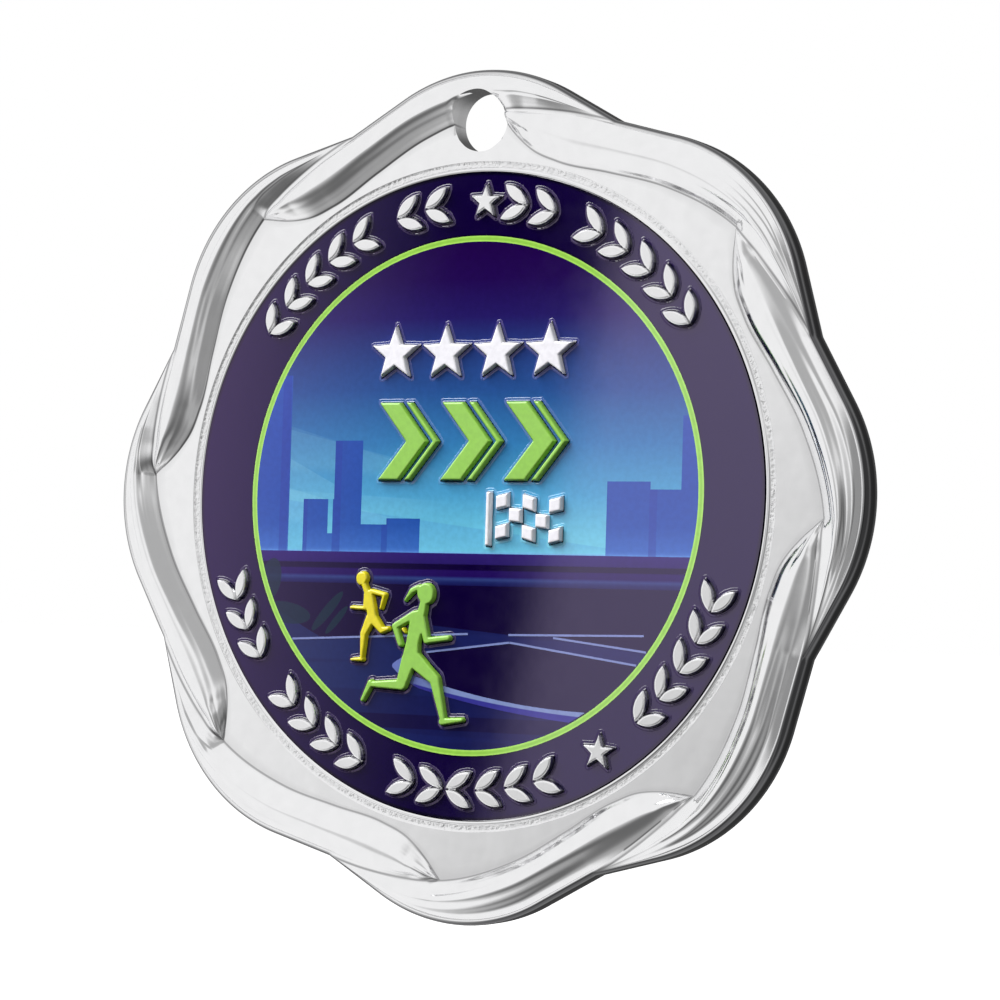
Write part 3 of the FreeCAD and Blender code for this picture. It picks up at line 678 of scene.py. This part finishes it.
def polished(name, tint, roughness, satin_back=False):
    """Bright plate over a casting: faint waviness, fine pits, handling marks and the stored painted
    shade.
    """
    made, tree, shader = new_material(name, Metallic=1.0)
    flat, _, _, radius = flat_position(tree)
    wave = grains(tree, flat, 0.32, 2)
    pits = grains(tree, flat, 5.5, 4)
    marks = grains(tree, flat, 0.9, 5)
    worn = mixed(tree, marks, srgb(*tint), srgb(*(WORN * c for c in tint)))
    # painted shade: the stored dark line along the edge and at the strands' feet, mixed in as grey
    shade_amount = put(tree, "ShaderNodeAttribute", attribute_name="painted_shade").outputs["Fac"]
    with_shade = mixed(tree, shade_amount, worn, srgb(*SHADE_GREY))
    tree.links.new(with_shade, shader.inputs["Base Color"])
    gloss = fade(tree, marks, 0.3, 0.75, roughness, roughness + 0.03)
    height = maths(tree, "MULTIPLY_ADD", pits, 0.04, wave)
    if satin_back:
        depth = put(tree, "ShaderNodeSeparateXYZ", {0: flat}).outputs["Y"]
        on_back = fade(tree, depth, *(EDGE_THICKNESS / 2 - d for d in SATIN_DEPTHS))
        brushed = grains(tree, flat, 1.0, 4, (26, 1, 0.6))
        ring = maths(tree, "MULTIPLY", fade(tree, radius, *GRAIN_IN), fade(tree, radius, *GRAIN_OUT))
        in_grain = maths(tree, "MULTIPLY", ring, maths(tree, "SUBTRACT", 1.0, on_back))
        gloss = maths(tree, "MULTIPLY_ADD", on_back, SATIN_ROUGHNESS, gloss)
        gloss = maths(tree, "MULTIPLY_ADD", in_grain, GRAIN_ROUGHNESS, gloss)
        brushed = maths(tree, "MULTIPLY", brushed, on_back)
        height = maths(tree, "MULTIPLY_ADD", brushed, SATIN_RELIEF, height)
        speckle = maths(tree, "MULTIPLY", grains(tree, flat, 3.6, 2), in_grain)
        height = maths(tree, "MULTIPLY_ADD", speckle, GRAIN_RELIEF, height)
    tree.links.new(gloss, shader.inputs["Roughness"])
    relief_of(tree, shader, height, POLISH_RELIEF)
    return made


def enamel(name, colour_of, roughness=0.055, peel=0.0008):
    """Glossy enamel whose colour is worked out from the place on the face."""
    made, tree, shader = new_material(name, IOR=1.5)
    flat, x, z, radius = flat_position(tree)
    colour = colour_of(tree, flat, x, z, radius)
    mottle = fade(tree, grains(tree, flat, 2.2, 4), 0.3, 0.7, 0.95, 1.05)
    tinted = put(tree, "ShaderNodeVectorMath", {0: colour, "Scale": mottle}, operation="SCALE")
    tree.links.new(tinted.outputs[0], shader.inputs["Base Color"])
    haze = fade(tree, grains(tree, flat, 0.6, 3), 0.3, 0.7, 0.85 * roughness, 1.15 * roughness)
    tree.links.new(haze, shader.inputs["Roughness"])
    relief_of(tree, shader, grains(tree, flat, 0.5, 2), peel)
    return made


def ramp(tree, value, low, high, stops):
    """Colours along a value: (value, display colour) stops."""
    share = maths(tree, "DIVIDE", maths(tree, "SUBTRACT", value, low), high - low)
    made = put(tree, "ShaderNodeValToRGB", {0: share})
    elements = made.color_ramp.elements
    while len(elements) < len(stops):
        elements.new(1)
    for element, (at, colour) in zip(elements, stops):
        element.position = (at - low) / (high - low)
        element.color = srgb(*colour)
    return made.outputs[0]


BAND_RADII = (20.4, 25.4)
LIME_RADII = (19.9, 20.44)


def band_colour(tree, flat, x, z, radius):
    """Deep purple, with painted shade: a dark line where the enamel meets each wall."""
    stops = (
        (20.4, (4, 0, 26)), (20.62, (12, 1, 48)), (25.1, (12, 1, 48)),
        (25.26, (3, 0, 24)), (25.4, (2, 0, 18)),
    )
    return ramp(tree, radius, *BAND_RADII, stops)


def lime_colour(tree, flat, x, z, radius):
    """Lime, with painted shading in place of relief: lighter at the edges, darker along the middle of
    the ring.
    """
    stops = (
        (19.9, (164, 214, 96)), (20.03, (158, 210, 88)), (20.1, (138, 192, 72)),
        (20.24, (138, 192, 72)), (20.31, (158, 210, 88)), (20.44, (164, 214, 96)),
    )
    return ramp(tree, radius, *LIME_RADII, stops)


SKY_HEIGHTS = (-4.6, 20)
SKY_STOPS = (
    (-4.6, (112, 164, 222)), (-4.44, (108, 192, 214)), (-3.6, (102, 184, 208)), (0, (70, 148, 190)),
    (4, (47, 112, 166)), (8.2, (35, 74, 136)), (14, (32, 22, 90)), (17, (29, 6, 72)), (20, (27, 2, 64)),
)


def stars(tree, flat, size, spacing, share):
    """Small round dots scattered over the face."""
    values = {"Vector": flat, "Scale": 1 / spacing, "Randomness": 0.9}
    cells = put(tree, "ShaderNodeTexVoronoi", values)
    chosen = put(tree, "ShaderNodeSeparateColor", {0: cells.outputs["Color"]})
    near = fade(tree, cells.outputs["Distance"], size / spacing, 0.6 * size / spacing)
    return maths(tree, "MULTIPLY", near, fade(tree, chosen.outputs[0], 1 - share - 0.02, 1 - share))


def below_line(tree, x, z, start, end, soft=0.04):
    """1 under the straight line through two points."""
    slope = (end[1] - start[1]) / (end[0] - start[0])
    line = maths(tree, "MULTIPLY_ADD", x, slope, start[1] - slope * start[0])
    return fade(tree, maths(tree, "SUBTRACT", z, line), soft, -soft)


def between(tree, value, low, high, soft=0.03):
    """1 where a value lies between two limits."""
    above = fade(tree, value, low - soft, low + soft)
    return maths(tree, "MULTIPLY", above, fade(tree, value, high + soft, high - soft))


# upper and lower edge of each cloud band, and how much paler it is
CLOUDS = (
    ((-16.9, 5.5), (-12.6, 4.3), (-16.9, 2.2), (-9.0, 1.9), 0.05),
    ((-16.9, 2.9), (-14.4, 1.7), (-16.9, -0.6), (-9.0, -0.4), 0.10),
    ((-16.9, 0.3), (-6.0, -0.3), (-16.9, -2.2), (-6.0, -1.7), 0.07),
    ((-9.9, 3.6), (-6.0, 2.7), (-9.9, 1.6), (-6.0, 1.4), 0.06),
    ((-9.9, -1.2), (-7.4, -1.8), (-9.9, -2.5), (-6.0, -2.7), 0.12),
    ((7.2, -3.4), (13.0, -4.1), (7.2, -4.4), (13.0, -4.3), -0.25),
)


def sky_colour(tree, flat, x, z, radius):
    """Indigo night over a teal horizon, with faint straight-edged cloud bands and small stars."""
    colour = ramp(tree, z, *SKY_HEIGHTS, SKY_STOPS)
    to_left = fade(tree, x, -1, -7)
    for top_start, top_end, low_start, low_end, lift in CLOUDS:
        under = below_line(tree, x, z, top_start, top_end)
        above = maths(tree, "SUBTRACT", 1.0, below_line(tree, x, z, low_start, low_end, 0.5))
        share = maths(tree, "MULTIPLY", maths(tree, "MULTIPLY", under, above), abs(lift))
        if top_start[0] < 0:
            share = maths(tree, "MULTIPLY", share, to_left)
        cloud = srgb(150, 215, 225) if lift > 0 else srgb(60, 120, 190)
        colour = mixed(tree, share, colour, cloud)
    dots = maths(tree, "MULTIPLY", stars(tree, flat, 0.13, 4.6, 0.5), fade(tree, z, -3, 0))
    return mixed(tree, dots, colour, srgb(70, 205, 215))


# left and right edge of each building's shaded side
SHADED_SIDES = ((-17.7, -16.9), (-15.4, -15.0), (-12.6, -11.85), (-7.95, -7.4), (15.85, 16.5))
GAP_WIDTH, GAP_HEIGHT = (-13.05, -12.6), (-3.15, -0.3)


def building_colour(tree, flat, x, z, radius):
    """Blue blocks that pale towards the ground, with deeper side faces and one gap of sky."""
    stops = (
        (-4.6, (80, 130, 202)), (-4.42, (60, 106, 182)), (-4.2, (50, 96, 174)), (-2.4, (32, 76, 156)),
        (0, (30, 72, 154)), (5, (34, 72, 156)), (12, (44, 82, 166)),
    )
    colour = ramp(tree, z, stops[0][0], stops[-1][0], stops)
    for low, high in SHADED_SIDES:
        side = maths(tree, "MULTIPLY", between(tree, x, low, high), 0.5)
        colour = mixed(tree, side, colour, srgb(34, 56, 144))
    gap = maths(tree, "MULTIPLY", between(tree, x, *GAP_WIDTH), between(tree, z, *GAP_HEIGHT))
    return mixed(tree, gap, colour, ramp(tree, z, *SKY_HEIGHTS, SKY_STOPS))


def parapet_colour(tree, flat, x, z, radius):
    """Level stripes of the parapet behind the road."""
    stops = (
        (-7.15, (10, 2, 48)), (-7.06, (18, 20, 75)), (-6.84, (24, 32, 88)), (-6.62, (42, 56, 112)),
        (-6.5, (34, 38, 100)), (-6.4, (28, 9, 80)), (-5.98, (30, 11, 82)), (-5.86, (10, 0, 46)),
        (-5.5, (9, 0, 44)), (-5.4, (36, 22, 92)), (-4.7, (40, 24, 98)), (-4.6, (44, 30, 104)),
    )
    return with_leaves(tree, x, z, ramp(tree, z, stops[0][0], stops[-1][0], stops))


# circles through the middle of the curved band and through the seam of its two stripes
BAND_CIRCLE = ((-4.3, -14.80), (2.0, -16.20), (10.0, -17.00))
SEAM_CIRCLE = ((-4.5, -14.93), (1.0, -15.95), (9.5, -16.90))
LEAVES = (
    # centre, half sizes and turn in degrees
    ((-18.3, -6.9), (0.95, 1.7), -10),
    ((-16.7, -9.6), (2.3, 0.85), -8),
    ((-12.8, -9.4), (0.42, 2.1), -42),
    ((-11.9, -10.1), (0.30, 1.5), -42),
)


# the corner between the two near lanes, the bend of the far lane and the lanes' colour by place
VEE_TIP, LANE_BEND = (4.06, -11.45), (3.95, -10.86)
ROAD_STOPS = ((-18, (24, 42, 86)), (-10, (21, 34, 82)), (-3, (20, 27, 80)), (8, (18, 25, 79)))


def outside_circle(tree, x, z, points, soft=0.04):
    """1 outside the circle through three points."""
    (ax, ay), (bx, by), (cx, cy) = points
    twice = 2 * (ax * (by - cy) + bx * (cy - ay) + cx * (ay - by))
    a, b, c = ax**2 + ay**2, bx**2 + by**2, cx**2 + cy**2
    middle_x = (a * (by - cy) + b * (cy - ay) + c * (ay - by)) / twice
    middle_z = (a * (cx - bx) + b * (ax - cx) + c * (bx - ax)) / twice
    radius = math.hypot(ax - middle_x, ay - middle_z)
    across, along = maths(tree, "SUBTRACT", x, middle_x), maths(tree, "SUBTRACT", z, middle_z)
    square = maths(tree, "MULTIPLY_ADD", across, across, maths(tree, "MULTIPLY", along, along))
    return fade(tree, maths(tree, "SQRT", square), radius - soft, radius + soft)


def leaf(tree, x, z, centre, half, degrees):
    """1 inside a turned ellipse."""
    cos, sin = math.cos(math.radians(degrees)), math.sin(math.radians(degrees))
    across, along = maths(tree, "SUBTRACT", x, centre[0]), maths(tree, "SUBTRACT", z, centre[1])
    u = maths(tree, "MULTIPLY", along, sin / half[0])
    u = maths(tree, "MULTIPLY_ADD", across, cos / half[0], u)
    v = maths(tree, "MULTIPLY", across, -sin / half[1])
    v = maths(tree, "MULTIPLY_ADD", along, cos / half[1], v)
    square = maths(tree, "MULTIPLY_ADD", u, u, maths(tree, "MULTIPLY", v, v))
    return fade(tree, square, 1.04, 0.96)


def with_leaves(tree, x, z, colour):
    """Dark teal leaves over the far left of the ground."""
    for shape in LEAVES:
        share = maths(tree, "MULTIPLY", leaf(tree, x, z, *shape), 0.85)
        colour = mixed(tree, share, colour, srgb(10, 38, 50))
    return colour


def road_colour(tree, flat, x, z, radius):
    """Near-black road with slate lanes, soft level streaks and leaves at its far left."""
    on_left = fade(tree, x, -4.5, -4.6)
    under_left = below_line(tree, x, z, (-16.05, -11.70), (0.30, -10.88))
    under_left = maths(tree, "MULTIPLY", under_left, on_left)
    beyond = maths(tree, "MAXIMUM", under_left, outside_circle(tree, x, z, BAND_CIRCLE))
    in_vee = maths(
        tree, "MULTIPLY",
        below_line(tree, x, z, (-3.4, -12.41), VEE_TIP),
        below_line(tree, x, z, VEE_TIP, (15.12, -12.87)),
    )
    above_vee = maths(tree, "SUBTRACT", 1.0, in_vee)
    left_top = below_line(tree, x, z, (-3.1, -10.29), LANE_BEND)
    left_top = maths(tree, "MULTIPLY", left_top, fade(tree, x, 3.97, 3.93))
    right_top = below_line(tree, x, z, LANE_BEND, (15.7, -10.62))
    right_top = maths(tree, "MULTIPLY", right_top, fade(tree, x, 3.93, 3.97))
    right_low = below_line(tree, x, z, (7.9, -10.98), (15.93, -11.85))
    right_low = maths(tree, "MAXIMUM", right_low, fade(tree, x, 7.95, 7.9))
    top = maths(tree, "ADD", left_top, maths(tree, "MULTIPLY", right_top, right_low))
    wedge = maths(tree, "MULTIPLY", above_vee, top)
    wedge = maths(tree, "MULTIPLY", wedge, fade(tree, x, -4.6, -4.5))
    lanes = maths(tree, "MAXIMUM", beyond, wedge)
    streak = fade(tree, grains(tree, flat, 0.8, 2, (0.05, 1, 1)), 0.46, 0.56)
    low_streak = between(tree, z, -18.5, -17.35, 0.08)
    shade = maths(tree, "MAXIMUM", maths(tree, "MULTIPLY", streak, 0.35), low_streak)
    far = ramp(tree, x, ROAD_STOPS[0][0], ROAD_STOPS[-1][0], ROAD_STOPS)
    lane = mixed(tree, shade, far, srgb(15, 12, 56))
    return with_leaves(tree, x, z, mixed(tree, lanes, srgb(9, 0, 44), lane))


def lines_colour(tree, flat, x, z, radius):
    """Painted lines, and a band with a pale upper and a violet lower stripe."""
    pale = mixed(tree, fade(tree, x, -6, 0), srgb(96, 108, 172), srgb(116, 132, 178))
    violet = maths(
        tree, "MULTIPLY", outside_circle(tree, x, z, SEAM_CIRCLE), fade(tree, x, -4.9, -4.3)
    )
    band = mixed(tree, violet, pale, srgb(48, 47, 132))
    return mixed(tree, fade(tree, z, -12.9, -12.95), srgb(116, 128, 178), band)


def plain_colour(*display):
    """An even colour with a faint drift."""

    def colour(tree, flat, x, z, radius):
        drift = grains(tree, flat, 0.35, 2)
        return mixed(tree, drift, srgb(*display), srgb(*(0.97 * c for c in display)))

    return colour


def setting_colour(base):
    """Painted shade: near-black in the moat, the enamel's own colour on the lip."""

    def colour(tree, flat, x, z, radius):
        own = base(tree, flat, x, z, radius)
        depth = put(tree, "ShaderNodeSeparateXYZ", {0: flat}).outputs["Y"]
        rise = maths(tree, "SUBTRACT", EDGE_THICKNESS / 2 - ENAMEL_FRONT, depth)
        climbing = fade(tree, rise, 0.017, 0.030)
        # near-black painted shade below the lip
        return mixed(tree, climbing, own, srgb(3, 1, 22))

    return colour


def picture_colour(tree, flat, x, z, radius):
    """The sky above the horizon and the road below it."""
    sky = ramp(tree, z, *SKY_HEIGHTS, SKY_STOPS)
    return mixed(tree, fade(tree, z, -4.7, -4.5), srgb(16, 12, 60), sky)


silver = polished("silver_plate", (246, 246, 247), 0.10, satin_back=True)
bright_silver = polished("raised_silver", (248, 248, 249), 0.24)
plate = polished("insert_metal", (196, 196, 200), 0.3)
film = enamel("adhesive_film", plain_colour(210, 205, 190), 0.5)
purple = enamel("purple_enamel", band_colour)
lime = enamel("lime_enamel", lime_colour)
white = enamel("white_enamel", plain_colour(224, 224, 227), 0.34)
green = enamel("green_enamel", plain_colour(132, 186, 66), 0.34)
yellow = enamel("yellow_enamel", plain_colour(212, 200, 16), 0.34)

CARRIED = {
    "insert_adhesive": film,
    "insert_plate": plate,
    "rim_band": purple,
    "accent_ring": lime,
    "sky_panel": enamel("sky_print", sky_colour),
    "skyline": enamel("skyline_print", building_colour),
    "parapet_band": enamel("parapet_print", parapet_colour),
    "road_panel": enamel("road_print", road_colour),
    "lane_lines": enamel("line_print", lines_colour),
}
for node, finish in CARRIED.items():
    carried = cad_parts[node]
    if not carried.material_slots:
        carried.data.materials.append(finish)
    for slot in carried.material_slots:
        slot.material = finish

RIM_RELIEF, CENTRE_RELIEF = 0.5, 0.45
RIM_NODES = ("top_rim_motifs", "bottom_rim_motifs")
CENTRE_NODES = {
    "star_row": ("white_stars", "white_enamel", white),
    "chevron_row": ("lime_chevrons", "lime_enamel", green),
    "finish_flag": ("chequered_flag", "white_enamel", white),
    "runner_front": ("front_runner", "green_enamel", green),
    "runner_rear": ("rear_runner", "yellow_enamel", yellow),
}

casting = make_casting()
casting.data.materials.clear()
casting.data.materials.append(silver)
metal_pieces = [casting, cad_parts["insert_plate"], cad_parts["insert_adhesive"]]
enamel_pieces = [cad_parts[n] for n in CARRIED if not n.startswith("insert_")]
for node in RIM_NODES:
    name = node.replace("motifs", "laurels")
    metal_pieces.append(raised(name, node, RIM_RELIEF, bright_silver))
for node, (name, slot, finish) in CENTRE_NODES.items():
    enamel_pieces.append(raised(name, node, CENTRE_RELIEF, finish))
# lip enamel with painted shade in the moat
rim_lip = enamel("rim_setting", setting_colour(band_colour))
picture_lip = enamel("picture_setting", setting_colour(picture_colour))
enamel_pieces.append(settings("rim_settings", RIM_NODES, rim_lip))
enamel_pieces.append(settings("picture_settings", CENTRE_NODES, picture_lip))
for piece in metal_pieces + enamel_pieces:
    if piece.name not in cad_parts:
        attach(piece, "root")

# ---------------------------------------------------------------- light

DOME_RADIUS, VEIL_RADIUS = 40.0, 36.0
DOME_LIGHT = 0.95
# dark places on the dome: azimuth, elevation, full to here, gone by there (degrees), depth
DOME_CAPS = (
    (-172, 0, 31, 50, 0.90),
    (100, 0, 32, 50, 0.68),
    (52, -5, 12, 26, 0.66),
    (34, 34, 10, 27, 0.52),
    (12, -42, 18, 44, 0.62),
    (-5, -22, 15, 38, 0.60),
)
# the right veil's edge in degrees of azimuth at level, its slant with elevation and its softness
VEIL_EDGE, VEIL_SLANT, VEIL_SOFT = -28.9, 0.19, 0.5
# where each other edge of a veil starts and ends to fade, in degrees
RIGHT_END = (-2, -8)
LEFT_NEAR, LEFT_FAR = (-30.3, -36.6), (-58, -50)
VEIL_FOOT, VEIL_HEAD = (-32, -24), (34, 26)
# elevations and levels between which the veils brighten upwards
VEIL_LIFT = (-9, 12, 0.76, 1.2)
VEIL_RIGHT, VEIL_LEFT = 2.15, 2.0
RIGHT_TINT, LEFT_TINT = (0.95, 0.81, 1.16, 1), (0.88, 0.64, 1.14, 1)


FLOOR_HALF, FLOOR_GAP, FLOOR_GLOW = 4.0, 0.0002, 1.2
# azimuth, elevation, distance, width, height and radiance
CARDS = {
    "key": (-52, 42, 1.2, 1.0, 1.0, 12.0),
    "fill": (45, 25, 1.2, 0.9, 0.9, 2.2),
}


def receivers(name, pieces):
    """A collection of the pieces that a light shines on."""
    made = bpy.data.collections.new(name)
    for piece in pieces:
        made.objects.link(piece)
    return made


def make_stage():
    """A pale floor under the medal, seen by the camera as clean white."""
    mesh = bpy.data.meshes.new("floor")
    corners = [(x * FLOOR_HALF, y * FLOOR_HALF, 0) for x, y in ((-1, -1), (1, -1), (1, 1), (-1, 1))]
    mesh.from_pydata(corners, [], [(0, 1, 2, 3)])
    floor = bpy.data.objects.new("floor", mesh)
    floor.location = (0, 0, cad_box[0][2] - FLOOR_GAP)
    scene.collection.objects.link(floor)
    made, _, shader = new_material("floor", Roughness=0.9)
    shader.inputs["Base Color"].default_value = (1, 1, 1, 1)
    shader.inputs["Emission Color"].default_value = (1, 1, 1, 1)
    shader.inputs["Emission Strength"].default_value = FLOOR_GLOW
    mesh.materials.append(made)
    for kind in ("glossy", "diffuse", "shadow", "transmission"):
        setattr(floor, f"visible_{kind}", False)


def make_dome(name, linked, size, level_of, on_matt=True):
    """A far tent that lights some pieces, with a level worked out by direction.

    It is clear as well as bright, so that tents for other pieces shine through it.
    """
    work = bmesh.new()
    bmesh.ops.create_uvsphere(work, u_segments=48, v_segments=24, radius=size)
    mesh = bpy.data.meshes.new(name)
    work.to_mesh(mesh)
    work.free()
    tent = bpy.data.objects.new(name, mesh)
    tent.location = CENTRE
    scene.collection.objects.link(tent)
    made = bpy.data.materials.new(name)
    made.use_nodes = True
    tree = made.node_tree
    tree.nodes.clear()
    spot = put(tree, "ShaderNodeTexCoord").outputs["Object"]
    toward = put(tree, "ShaderNodeVectorMath", {0: spot}, operation="NORMALIZE").outputs[0]
    level, colour = level_of(tree, toward)
    glow = put(tree, "ShaderNodeEmission", {"Strength": level, "Color": colour})
    clear = put(tree, "ShaderNodeBsdfTransparent")
    both = put(tree, "ShaderNodeAddShader", {0: glow.outputs[0], 1: clear.outputs[0]})
    out = put(tree, "ShaderNodeOutputMaterial")
    tree.links.new(both.outputs[0], out.inputs["Surface"])
    mesh.materials.append(made)
    tent.visible_camera = False
    tent.visible_diffuse = on_matt
    tent.light_linking.receiver_collection = linked


def metal_level(tree, toward):
    """Bright all round, with dark cards."""
    level = None
    for azimuth, elevation, full, gone, depth in DOME_CAPS:
        values = {0: toward, 1: direction(azimuth, elevation)}
        facing = put(tree, "ShaderNodeVectorMath", values, operation="DOT_PRODUCT").outputs["Value"]
        limits = math.cos(math.radians(gone)), math.cos(math.radians(full))
        left = fade(tree, facing, *limits, 1.0, 1 - depth)
        level = left if level is None else maths(tree, "MULTIPLY", level, left)
    return maths(tree, "MULTIPLY", level, DOME_LIGHT), (1, 1, 1, 1)


def veil_level(tree, toward):
    """Two soft boxes that lie as veils over the enamel, with a dark slot between them."""
    parts = put(tree, "ShaderNodeSeparateXYZ", {0: toward})
    ahead = maths(tree, "MULTIPLY", parts.outputs["Y"], -1.0)
    azimuth = maths(tree, "ARCTAN2", parts.outputs["X"], ahead)
    azimuth = maths(tree, "MULTIPLY", azimuth, math.degrees(1))
    elevation = maths(tree, "ARCSINE", parts.outputs["Z"])
    elevation = maths(tree, "MULTIPLY", elevation, math.degrees(1))
    edge = maths(tree, "MULTIPLY_ADD", elevation, VEIL_SLANT, VEIL_EDGE)
    past = maths(tree, "SUBTRACT", azimuth, edge)
    on_right = fade(tree, past, -VEIL_SOFT, VEIL_SOFT)
    on_right = maths(tree, "MULTIPLY", on_right, fade(tree, azimuth, *RIGHT_END))
    left_near, left_far = fade(tree, azimuth, *LEFT_NEAR), fade(tree, azimuth, *LEFT_FAR)
    on_left = maths(tree, "MULTIPLY", left_near, left_far)
    level = maths(tree, "MULTIPLY", on_left, VEIL_LEFT)
    level = maths(tree, "MULTIPLY_ADD", on_right, VEIL_RIGHT, level)
    foot, head = fade(tree, elevation, *VEIL_FOOT), fade(tree, elevation, *VEIL_HEAD)
    near = maths(tree, "MULTIPLY", foot, head)
    near = maths(tree, "MULTIPLY", near, fade(tree, elevation, *VEIL_LIFT))
    return maths(tree, "MULTIPLY", level, near), mixed(tree, on_left, RIGHT_TINT, LEFT_TINT)


def make_card(name, linked, azimuth, elevation, distance, width, height, radiance):
    """A soft box aimed at the medal's middle."""
    data = bpy.data.lights.new(name, "AREA")
    data.shape = "RECTANGLE"
    data.size, data.size_y = width, height
    data.energy = radiance * math.pi * width * height
    card = bpy.data.objects.new(name, data)
    scene.collection.objects.link(card)
    toward = direction(azimuth, elevation)
    turned = toward.to_track_quat("Z", "Y").to_matrix().to_4x4()
    card.matrix_world = Matrix.Translation(CENTRE + toward * distance) @ turned
    card.light_linking.receiver_collection = linked


world = bpy.data.worlds.new("world")
scene.world = world
world.use_nodes = True
world_tree = world.node_tree
ray = put(world_tree, "ShaderNodeLightPath")
background = world_tree.nodes["Background"]
background.inputs["Color"].default_value = (1, 1, 1, 1)
world_tree.links.new(ray.outputs["Is Camera Ray"], background.inputs["Strength"])

metal_light = receivers("lit_metal", metal_pieces)
enamel_light = receivers("lit_enamel", enamel_pieces)
make_stage()
make_dome("metal_tent", metal_light, DOME_RADIUS, metal_level)
make_dome("enamel_tent", enamel_light, VEIL_RADIUS, veil_level, on_matt=False)
for name, card in CARDS.items():
    make_card(name, enamel_light, *card)
